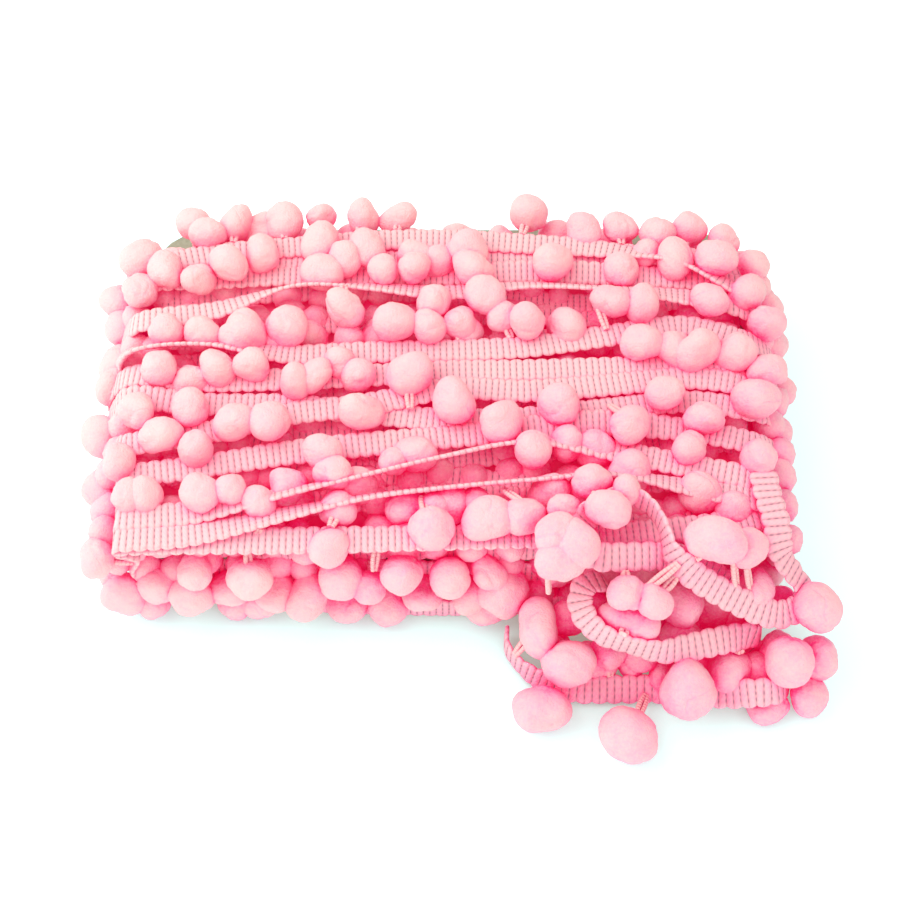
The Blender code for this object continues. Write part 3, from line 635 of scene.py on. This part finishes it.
def felt_material():
    material, tree, shader = finish_material("pink_felt", 0.95, Emission_Strength=1.0)
    mottle = object_noise(tree, MOTTLE_SCALE) * 0.8 + object_noise(tree, FLECK_SCALE, 4.0) * 1.2 - 1
    bend = tree.vector("ADD", tree.object_place(), (0.5, 0.2, 0.1))
    line = abs(tree.add("ShaderNodeTexNoise", {}, Vector=bend, Scale=CREASE_SCALE, Detail=0.5) - 0.5)
    some = tree.smooth_step(object_noise(tree, CREASED_SCALE, 0.0), 0.58, 0.64)
    crease = (1 - tree.smooth_step(line, 0.0, 0.03)) * some
    batch = object_noise(tree, BATCH_SCALE, 0.0) * BATCH_SHARE - BATCH_SHARE / 2
    free = openness(tree)
    # Painted shade: the felt is darkened in its creases and where it is shut in from the light.
    shade = painted_light_level(tree, free) + batch + mottle * MOTTLE_SHARE - crease * CREASE_SHADE_SHARE
    tree.put(shader.inputs["Base Color"], ramp(tree, shade, FELT_STOPS))
    # Painted glow: the felt emits light in its deep gaps.
    tree.put(shader.inputs["Emission Color"], ramp(tree, free, PAINTED_GLOW_STOPS))
    clumps = object_noise(tree, CLUMP_SCALE, 2.0) * 1.2
    fuzz = object_noise(tree, FUZZ_SCALE, 4.0) * 1.5 + clumps - crease * 0.5
    bumped(tree, shader, fuzz, 0.5, 0.45 * MM)
    return material


def band_material():
    material, tree, shader = finish_material("pink_band", 0.85, Emission_Strength=1.0)
    ribs = tree.carried("ribs")
    over = tree.carried("over")
    groove = 1 - abs(tree.maths("SINE", ribs * math.pi))
    row = tree.maths("COSINE", over * (4 * math.pi)) * 0.5 + 0.5
    inside = 1 - abs(over) ** 5
    hole = groove ** 3.2 * (row * 0.6 + 0.4) * inside
    ply = abs(tree.maths("SINE", ribs * (2.5 * math.pi) + over * 9))
    free = openness(tree)
    thread = object_noise(tree, THREAD_SCALE, 3.0) - 0.5
    mottle = (object_noise(tree, MOTTLE_SCALE) - 0.5) * 0.2 + thread * 0.5
    # Painted light and shade on the band, as on the felt.
    plain = ramp(tree, painted_light_level(tree, free) + mottle + ply * 0.06, FELT_STOPS)
    # Painted glow: the band emits light in its deep gaps.
    tree.put(shader.inputs["Emission Color"], ramp(tree, free, PAINTED_GLOW_STOPS))
    # Painted shade: the stitch holes in the grooves are painted dark.
    pierced = tree.add("ShaderNodeMix", {"data_type": "RGBA"}, hole, plain, STITCH_HOLE_SHADE)
    tree.put(shader.inputs["Base Color"], pierced)
    weave = groove ** 2 * -1.2 - row * 0.3 + ply * 0.25 + object_noise(tree, WEAVE_SCALE) * 0.3
    bumped(tree, shader, weave, 0.6, 0.3 * MM)
    return material


def yarn_material():
    material, tree, shader = finish_material("pink_yarn", 0.85)
    ply = tree.maths("SINE", tree.carried("run") * (2 * math.pi / YARN_PLY))
    # Painted shade: the yarn is painted darker where it is shut in from the light.
    tree.put(shader.inputs["Base Color"], ramp(tree, openness(tree) + ply * 0.05, YARN_STOPS))
    bumped(tree, shader, ply, 0.6, 0.2 * MM)
    return material


def core_material():
    material, tree, shader = finish_material("packed_pink_painted_shade", 0.95, Emission_Strength=1.0)
    mottle = object_noise(tree, PACKED_SCALE)
    # Painted shade: the hidden core is coloured only in the shade colours, with a painted glow.
    tree.put(shader.inputs["Base Color"], ramp(tree, mottle, ((0.3, PINK_DEEP_SHADE), (0.8, PINK_HALF_SHADE))))
    tree.put(shader.inputs["Emission Color"], ramp(tree, mottle * 0.5, PAINTED_GLOW_STOPS))
    return material


def card_material():
    material, tree, shader = finish_material("grey_paperboard", 0.8)
    fibre = object_noise(tree, BOARD_SCALE, 4.0)
    tree.put(shader.inputs["Base Color"], ramp(tree, fibre, ((0.3, BOARD_DARK), (0.7, BOARD_LIGHT))))
    bumped(tree, shader, fibre, 0.3, 0.1 * MM)
    return material


def band_tree(material):
    """Sweeps a woven band with cross ribs and scalloped edges along each line of the source."""
    tree = GrowTree("ribbed_band", ("Width", "Thickness", "Rib Pitch", "Rib Depth", "Scallop"))
    pitch = tree.size["Rib Pitch"]
    line = tree.add("GeometryNodeMeshToCurve", {}, tree.geometry)
    line = tree.add("GeometryNodeResampleCurve", {"mode": "LENGTH"}, line, None, pitch / SAMPLES_A_RIB)
    whole = tree.add("GeometryNodeSplineParameter", {}, out=1)
    back = tree.maths("SINE", whole * (2 * math.pi) / pitch) * pitch * SHOULDER_SHIFT
    line = tree.kept(line, "ribs", (whole - back) / pitch)
    heading = tree.add("GeometryNodeInputTangent", {})
    line = tree.kept(line, "heading", heading, "FLOAT_VECTOR")
    spine = tree.vector("SUBTRACT", tree.add("GeometryNodeInputPosition", {}), tree.scaled(heading, back))
    line = tree.kept(line, "spine", spine, "FLOAT_VECTOR")
    ring = tree.add("GeometryNodeCurvePrimitiveCircle", {"mode": "RADIUS"}, BAND_SIDES, Radius=MM)
    ring = tree.kept(ring, "around", tree.add("GeometryNodeSplineParameter", {}, out=0))
    mesh = tree.add("GeometryNodeCurveToMesh", {}, line, ring, Fill_Caps=True)
    angle = tree.attribute("around") * (2 * math.pi)
    cosine = tree.maths("COSINE", angle)
    sine = tree.maths("SINE", angle)

    def squared(value, power):
        """The value drawn towards plus or minus one, which makes a round section a flat one."""
        return tree.maths("SIGN", value) * abs(value) ** power

    ribs = tree.attribute("ribs")
    groove = 1 - abs(tree.maths("SINE", ribs * math.pi)) ** 0.35
    notch = 1 - abs(tree.maths("SINE", ribs * (math.pi / RIBS_A_SCALLOP))) ** 0.5
    over = squared(cosine, 0.75)
    across = over * tree.size["Width"] / 2 * (1 - notch * tree.size["Scallop"])
    depth = tree.size["Rib Depth"] * (1 - over * over)
    rise = squared(sine, 0.45) * tree.size["Thickness"] / 2 * (1 - groove * depth)
    up = tree.attribute("face_up", "FLOAT_VECTOR")
    side = tree.vector("CROSS_PRODUCT", up, tree.attribute("heading", "FLOAT_VECTOR"))
    side = tree.scaled(tree.vector("NORMALIZE", side), across)
    place = tree.vector("ADD", side, tree.scaled(tree.vector("NORMALIZE", up), rise))
    place = tree.vector("ADD", place, tree.attribute("spine", "FLOAT_VECTOR"))
    mesh = tree.kept(mesh, "over", over)
    mesh = tree.add("GeometryNodeSetPosition", {}, mesh, None, place)
    return tree.finish(mesh, material)


def bobble_tree(material, subdivisions):
    """Puts an uneven felted ball on each point of the source, dimpled where its yarn goes in."""
    tree = GrowTree("felted_bobbles", ("Radius", "Lumps", "Tufts", "Creases", "Dimple", "Lowest"))
    ball = tree.add("GeometryNodeMeshIcoSphere", {}, tree.size["Radius"], subdivisions)
    ball = tree.kept(ball, "own", tree.add("GeometryNodeInputPosition", {}), "FLOAT_VECTOR")
    turned = tree.add("FunctionNodeEulerToRotation", {}, tree.attribute("tip", "FLOAT_VECTOR"))
    stretch = tree.attribute("stretch", "FLOAT_VECTOR")
    mesh = tree.add("GeometryNodeInstanceOnPoints", {}, tree.geometry, Instance=ball, Rotation=turned,
                    Scale=stretch)
    mesh = tree.add("GeometryNodeRealizeInstances", {}, mesh)
    place = tree.add("GeometryNodeInputPosition", {})
    lump = tree.add("ShaderNodeTexNoise", {}, Vector=place, Scale=LUMP_SCALE, Detail=0.5) - 0.5
    elsewhere = tree.vector("ADD", place, (1.0, 2.0, 3.0))
    fold = abs(tree.add("ShaderNodeTexNoise", {}, Vector=elsewhere, Scale=CREASE_SCALE, Detail=0.0) - 0.5)
    crease = 1 - tree.maths("MINIMUM", fold * 16, 1.0)
    depth = tree.add("ShaderNodeSeparateXYZ", {}, tree.attribute("own", "FLOAT_VECTOR"), out=2)
    depth = depth / tree.size["Radius"]
    pole = tree.maths("MAXIMUM", depth * -1, 0.0) ** 10
    tuft = tree.add("ShaderNodeTexNoise", {}, Vector=place, Scale=TUFT_SCALE, Detail=1.0) - 0.5
    out_by = lump * tree.size["Lumps"] + tuft * tree.size["Tufts"] - crease ** 2 * tree.size["Creases"]
    out_by = out_by - pole * tree.size["Dimple"]
    offset = tree.scaled(tree.add("GeometryNodeInputNormal", {}), out_by)
    mesh = tree.add("GeometryNodeSetPosition", {}, mesh, Offset=offset)
    place = tree.add("GeometryNodeInputPosition", {})
    height = tree.add("ShaderNodeSeparateXYZ", {}, place, out=2)
    lift = tree.maths("MAXIMUM", tree.size["Lowest"] - height, 0.0)
    offset = tree.add("ShaderNodeCombineXYZ", {}, 0.0, 0.0, lift)
    mesh = tree.add("GeometryNodeSetPosition", {}, mesh, Offset=offset)
    return tree.finish(mesh, material)


def yarn_tree(material):
    """Makes two bowed yarns, side by side, of each line of the source."""
    tree = GrowTree("tied_yarns", ("Radius", "Spread"))
    line = tree.add("GeometryNodeMeshToCurve", {}, tree.geometry)
    line = tree.add("GeometryNodeResampleCurve", {"mode": "COUNT"}, line, None, YARN_SAMPLES)
    bow = tree.maths("SINE", tree.add("GeometryNodeSplineParameter", {}) * math.pi)
    pair = tree.nodes.nodes.new("GeometryNodeJoinGeometry")
    for way in (-1, 1):
        apart = (bow * 0.6 + 0.6) * tree.size["Spread"] * way
        offset = tree.scaled(tree.attribute("beside", "FLOAT_VECTOR"), apart)
        one = tree.add("GeometryNodeSetPosition", {}, line, Offset=offset)
        tree.nodes.links.new(one.socket, pair.inputs[0])
    lines = Wire(tree, pair.outputs[0])
    lines = tree.kept(lines, "run", tree.add("GeometryNodeSplineParameter", {}, out=1))
    radius = tree.size["Radius"]
    ring = tree.add("GeometryNodeCurvePrimitiveCircle", {"mode": "RADIUS"}, YARN_SIDES, Radius=radius)
    return tree.finish(tree.add("GeometryNodeCurveToMesh", {}, lines, ring, Fill_Caps=True), material)


def smooth_path(points, steps):
    """A Catmull-Rom curve through tuples of numbers, with that many steps between neighbours."""
    path = []
    last = len(points) - 1
    for i in range(last):
        before, a, b, after = (points[max(0, min(last, k))] for k in (i - 1, i, i + 1, i + 2))
        for step in range(steps):
            t = step / steps
            path.append(tuple(
                0.5 * (2 * q + (r - p) * t + (2 * p - 5 * q + 4 * r - s) * t * t
                       + (3 * q - p - 3 * r + s) * t ** 3)
                for p, q, r, s in zip(before, a, b, after)
            ))
    path.append(tuple(points[last]))
    return path


def laid_band(stations, steps, flat_way):
    """The points of a band and its face's direction at each, from stations of x, y, z and lean."""
    samples = smooth_path(stations, steps)
    points = [Vector(s[:3]) * MM for s in samples]
    ups = []
    sides = []
    for i, sample in enumerate(samples):
        along = (points[min(i + 1, len(points) - 1)] - points[max(i - 1, 0)]).normalized()
        normal = flat_way(along)
        across = normal.cross(along).normalized()
        normal = along.cross(across)
        tilt = math.radians(sample[3])
        ups.append(normal * math.cos(tilt) - across * math.sin(tilt))
        sides.append(across * math.cos(tilt) + normal * math.sin(tilt))
    return points, ups, sides


def outward(along):
    """The direction away from the bundle on a turn that runs over the top towards +X."""
    return Vector((-along.z, 0, along.x))


def upward(along):
    return Vector((0, 0, 1))


def turn_stations(turn, under_y):
    """Stations of one turn: over the top, round both ends and underneath."""
    top = []
    for x, y, lean in zip(COLUMNS_X, turn.y, turn.lean):
        rise = (BAND_WIDTH - BAND_THICKNESS) / 2 / MM * abs(math.sin(math.radians(lean)))
        top.append((x, y, TURN_Z + turn.lift + rise, lean))

    def end_round(reach, side, start_y, heights):
        shares = [1 - height / TURN_Z for height, short in heights]
        return [(side * (reach - short), start_y + (under_y - start_y) * share, height, 0)
                for share, (height, short) in zip(shares, heights)]

    right = end_round(turn.right, 1, top[-1][1], END_ROUND)
    left = end_round(turn.left, -1, top[0][1], END_ROUND[::-1])
    under_z = (BAND_THICKNESS / 2 + SURFACE_GAP) / MM
    below = [(x, under_y, under_z, 0) for x in UNDER_COLUMNS_X]
    return left + top + right, right[-1:] + below + left[:1]


def line_mesh(name, lines, vectors):
    """A mesh of open lines. Each line is its points, and vectors names a list of vectors for each."""
    mesh = bpy.data.meshes.new(name)
    points = [p for line in lines for p in line]
    edges = []
    start = 0
    for line in lines:
        edges += [(start + i, start + i + 1) for i in range(len(line) - 1)]
        start += len(line)
    mesh.from_pydata(points, edges, [])
    for key, values in vectors.items():
        layer = mesh.attributes.new(key, "FLOAT_VECTOR", "POINT")
        layer.data.foreach_set("vector", [c for value in values for c in value])
    return mesh


def band_piece(name, bands, tree, pitch=RIB_PITCH):
    """One piece of every band in the list, each as laid_band gives it."""
    mesh = line_mesh(name, [points for points, ups, sides in bands],
                     {"face_up": [up for points, ups, sides in bands for up in ups]})
    return grown(name, mesh, tree, {
        "Width": BAND_WIDTH, "Thickness": BAND_THICKNESS,
        "Rib Pitch": pitch, "Rib Depth": RIB_DEPTH, "Scallop": SCALLOP,
    })


Ball = namedtuple("Ball", "middle stretch tip")


def bobble_piece(name, balls, tree):
    mesh = line_mesh(name, [[ball.middle] for ball in balls],
                     {"stretch": [ball.stretch for ball in balls], "tip": [ball.tip for ball in balls]})
    return grown(name, mesh, tree, {
        "Radius": BOBBLE_RADIUS, "Lumps": LUMPS, "Tufts": TUFTS,
        "Creases": CREASES, "Dimple": DIMPLE, "Lowest": LOWEST,
    })


def yarn_piece(name, ties, tree):
    lines = []
    beside = []
    for start, end in ties:
        side = (end - start).cross(Vector((0.3, 0.2, 1))).normalized()
        lines.append([start, (start + end) / 2, end])
        beside += [side] * 3
    mesh = line_mesh(name, lines, {"beside": beside})
    return grown(name, mesh, tree, {"Radius": YARN_RADIUS, "Spread": YARN_SPREAD})


def uneven(chance, least, most):
    return Vector([chance.uniform(least, most) for _ in range(3)])


def shown_balls():
    """The bobbles of the tables, each with its own stretch and tip."""
    chance = random.Random(21)
    balls = []
    for row in ROWS:
        for x, y, z, size in zip(row.x, row.y, row.z, row.size):
            stretch = uneven(chance, 0.86, 1.18) * size
            balls.append(Ball(Vector((x, y, z)) * MM, stretch, uneven(chance, -1.2, 1.2)))
    return balls


def packed_balls(taken, bands):
    """Bobbles that fill the bundle's gaps, pressed down where an outer turn runs over them."""
    chance = random.Random(8)
    places = []
    for column in range(int(2 * INNER_HALF_X / FILL_PITCH) + 1):
        x = -INNER_HALF_X + column * FILL_PITCH
        y = FILL_NEAR_Y
        while y < FILL_FAR_Y:
            places.append((x, y, FILL_Z))
            y += FILL_PITCH
        for z in SIDE_FILL_Z:
            places.append((x, FILL_NEAR_Y - SIDE_FILL_OUT, z))
            if abs(x) < CARD_SHOWS_X or z < CARD_SHOWS_Z:
                places.append((x, FILL_FAR_Y + SIDE_FILL_OUT, z))
    end_x = BLOCK_HALF_LENGTH / MM - SIDE_FILL_OUT
    y = FILL_NEAR_Y
    while y < FILL_FAR_Y:
        for z in SIDE_FILL_Z:
            places += [(-end_x, y, z), (end_x, y, z)]
        y += FILL_PITCH
    balls = []
    for place in places:
        middle = (Vector(place) + uneven(chance, -FILL_SHIFT, FILL_SHIFT)) * MM
        stretch = uneven(chance, *FILL_SIZE)
        tip = uneven(chance, -3, 3)
        if middle.z > FILL_PRESSED and bands.find(middle.xy.to_3d())[2] < BAND_WIDTH:
            middle.z = FILL_PRESSED
        if taken.find(middle)[2] > FILL_CLEAR * BOBBLE_RADIUS:
            balls.append(Ball(middle, stretch, tip))
    return balls


def band_edges(bands):
    """The places along both edges of every band in the list, to search for the nearest."""
    return tree_of([p + s * way * BAND_WIDTH / 2 for points, ups, across in bands
                    for p, s in zip(points, across) for way in (-1, 1)])


def tied(balls, edges):
    """The stretch of yarn from each bobble to the nearest place on an edge, where one is near."""
    ties = []
    for ball in balls:
        place, _, distance = edges.find(ball.middle)
        if BOBBLE_RADIUS < distance < TIE_REACH * BOBBLE_RADIUS:
            inward = (ball.middle - place).normalized()
            ties.append((place - inward * 0.4 * MM, ball.middle - inward * BOBBLE_RADIUS * 0.6))
    return ties


def shown_yarns(table):
    return [(Vector(start) * MM, Vector(end) * MM) for start, end in table]


def tree_of(points):
    found = KDTree(len(points))
    for index, point in enumerate(points):
        found.insert(point, index)
    found.balance()
    return found


def core_piece(material):
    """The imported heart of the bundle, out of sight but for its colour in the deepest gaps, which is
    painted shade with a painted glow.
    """
    mesh = bpy.data.meshes.new("packed_core")
    bm = bmesh.new()
    bmesh.ops.create_cube(bm, size=1)
    half_width = (BLOCK_FAR_Y - BLOCK_NEAR_Y) / 2
    half = Vector((BLOCK_HALF_LENGTH - CORE_INSET, half_width - CORE_INSET, CORE_HALF_HEIGHT))
    middle = Vector((0, (BLOCK_FAR_Y + BLOCK_NEAR_Y) / 2, CORE_Z))
    for vertex in bm.verts:
        vertex.co = Vector([2 * c * h for c, h in zip(vertex.co, half)]) + middle
    bmesh.ops.bevel(bm, geom=bm.edges[:], offset=CORE_ROUND, segments=4, affect="EDGES", profile=0.5)
    bm.to_mesh(mesh)
    bm.free()
    mesh.materials.append(material)
    mesh.shade_smooth()
    made = bpy.data.objects.new("packed_core", mesh)
    bpy.context.scene.collection.objects.link(made)
    return made


def belongs(piece, node):
    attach(piece, "root")
    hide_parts(node)


def inner_stations(number):
    """Stations of one band of the layer under the outer turns, which sways and leans a little."""
    y = INNER_FIRST_Y + number * INNER_PITCH
    return [(x, y + INNER_SWAY * math.sin(0.05 * x + number * 1.7), INNER_Z,
             INNER_LEAN * math.sin(0.04 * x + number))
            for x in range(-INNER_HALF_X, INNER_HALF_X + 1, INNER_STATION_PITCH)]


def make_bundle(felt, band, yarn):
    outer = []
    under = []
    for number, turn in enumerate(TURNS):
        over_top, below = turn_stations(turn, UNDER_FIRST_Y + number * UNDER_PITCH)
        outer.append(laid_band(over_top, TURN_STEPS, outward))
        under.append(laid_band(below, TURN_STEPS, outward))
    inner = [laid_band(inner_stations(number), INNER_STEPS, outward) for number in range(INNER_COUNT)]
    for row in SIDE_BANDS:
        stations = [(x, y, z, row.lean) for x, y, z in zip(row.x, row.y, row.z)]
        inner.append(laid_band(stations, TURN_STEPS, outward))
    near_count = len(TURNS) // 2
    pieces = [
        band_piece("outer_turns_near", outer[:near_count], band),
        band_piece("outer_turns_far", outer[near_count:], band),
        band_piece("under_turns", under, band),
        band_piece("inner_turns", inner, band),
    ]
    balls = shown_balls()
    half = len(balls) // 2
    fine, plain = felt
    pieces.append(bobble_piece("bobbles_far", balls[:half], fine))
    pieces.append(bobble_piece("bobbles_near", balls[half:], fine))
    runs = [point.xy.to_3d() for points, ups, across in outer for point in points]
    packed = packed_balls(tree_of([ball.middle for ball in balls]), tree_of(runs))
    pieces.append(bobble_piece("bobbles_packed", packed, plain))
    ties = tied(balls, band_edges(outer + inner)) + shown_yarns(BUNDLE_YARNS)
    pieces.append(yarn_piece("bundle_yarns", ties, yarn))
    pieces.append(core_piece(core_material()))
    for piece in pieces:
        belongs(piece, "wound_trim")
    return pieces


def make_loose_end(felt, band, yarn):
    laid = laid_band(LOOSE_PATH, LOOSE_STEPS, upward)
    points = laid[0]
    length = sum((b - a).length for a, b in zip(points, points[1:]))
    loose = band_piece("loose_band", [laid], band, LOOSE_RIB_PITCH)
    balls = []
    for row in LOOSE_BOBBLES:
        middle = Vector((row.x, row.y, row.z)) * MM
        stretch = Vector((row.wide, row.deep, row.tall))
        balls.append(Ball(middle, stretch, Vector((0, 0, math.radians(row.turn)))))
    bobbles = bobble_piece("loose_bobbles", balls, felt)
    yarns = yarn_piece("loose_yarns", tied(balls, band_edges([laid])) + shown_yarns(LOOSE_YARNS), yarn)
    for piece in (loose, bobbles, yarns):
        belongs(piece, "loose_trim")


def dress_card():
    card = frame["nodes"]["card"]
    card.data.materials.clear()
    card.data.materials.append(card_material())


def floor_material():
    """White, but takes in red, so that the pink light from the trim leaves a plain grey shadow; its glow
    is dimmed near the trim, a painted shadow.
    """
    material, tree, shader = finish_material(
        "white_floor", 0.9, Base_Color=FLOOR_WHITE, Emission_Strength=FLOOR_GLOW)
    # Painted shadow: the floor's glow is dimmed near the trim.
    tree.put(shader.inputs["Emission Color"], ramp(tree, openness(tree, SHADOW_REACH), PAINTED_SHADOW_STOPS))
    return material


def soft_lamp(name, energy, place, towards):
    """A broad lamp at that place, turned towards a point of the trim."""
    light = bpy.data.lights.new(name, "AREA")
    light.size = 0.5
    light.energy = energy
    lamp = bpy.data.objects.new(name, light)
    lamp.location = place
    lamp.rotation_euler = (Vector(towards) - lamp.location).to_track_quat("-Z", "Y").to_euler()
    bpy.context.scene.collection.objects.link(lamp)


def make_stage():
    """A white floor, soft light from the left and the camera at the photo's angle."""
    bpy.ops.mesh.primitive_plane_add(size=FLOOR_SIZE, location=(0, 0, -FLOOR_DROP))
    floor = bpy.context.object
    floor.name = "floor"
    floor.data.materials.append(floor_material())
    world = bpy.data.worlds.new("soft_white")
    world.use_nodes = True
    world.node_tree.nodes["Background"].inputs["Color"].default_value = (1, 1, 1, 1)
    world.node_tree.nodes["Background"].inputs["Strength"].default_value = WORLD_STRENGTH
    bpy.context.scene.world = world
    soft_lamp("key", 1.75, (-0.28, 0.04, 0.36), (0, 0, 0.01))
    soft_lamp("fill", 0.57, (0.12, -0.42, 0.24), (0.01, -0.02, 0.01))
    lens = bpy.data.cameras.new("photo_view")
    lens.sensor_width = SENSOR_MM
    lens.lens = LENS_MM
    camera = bpy.data.objects.new("photo_view", lens)
    camera.location = CAMERA_PLACE
    camera.rotation_euler = (math.radians(CAMERA_TILT), 0, 0)
    bpy.context.scene.collection.objects.link(camera)
    bpy.context.scene.camera = camera
    bpy.context.scene.view_settings.view_transform = "Standard"


def main():
    felt = felt_material()
    trees = (bobble_tree(felt, FINE_BALL), bobble_tree(felt, PLAIN_BALL))
    band = band_tree(band_material())
    yarn = yarn_tree(yarn_material())
    bundle = make_bundle(trees, band, yarn)
    make_loose_end(trees[0], band, yarn)
    dress_card()
    make_stage()


main()
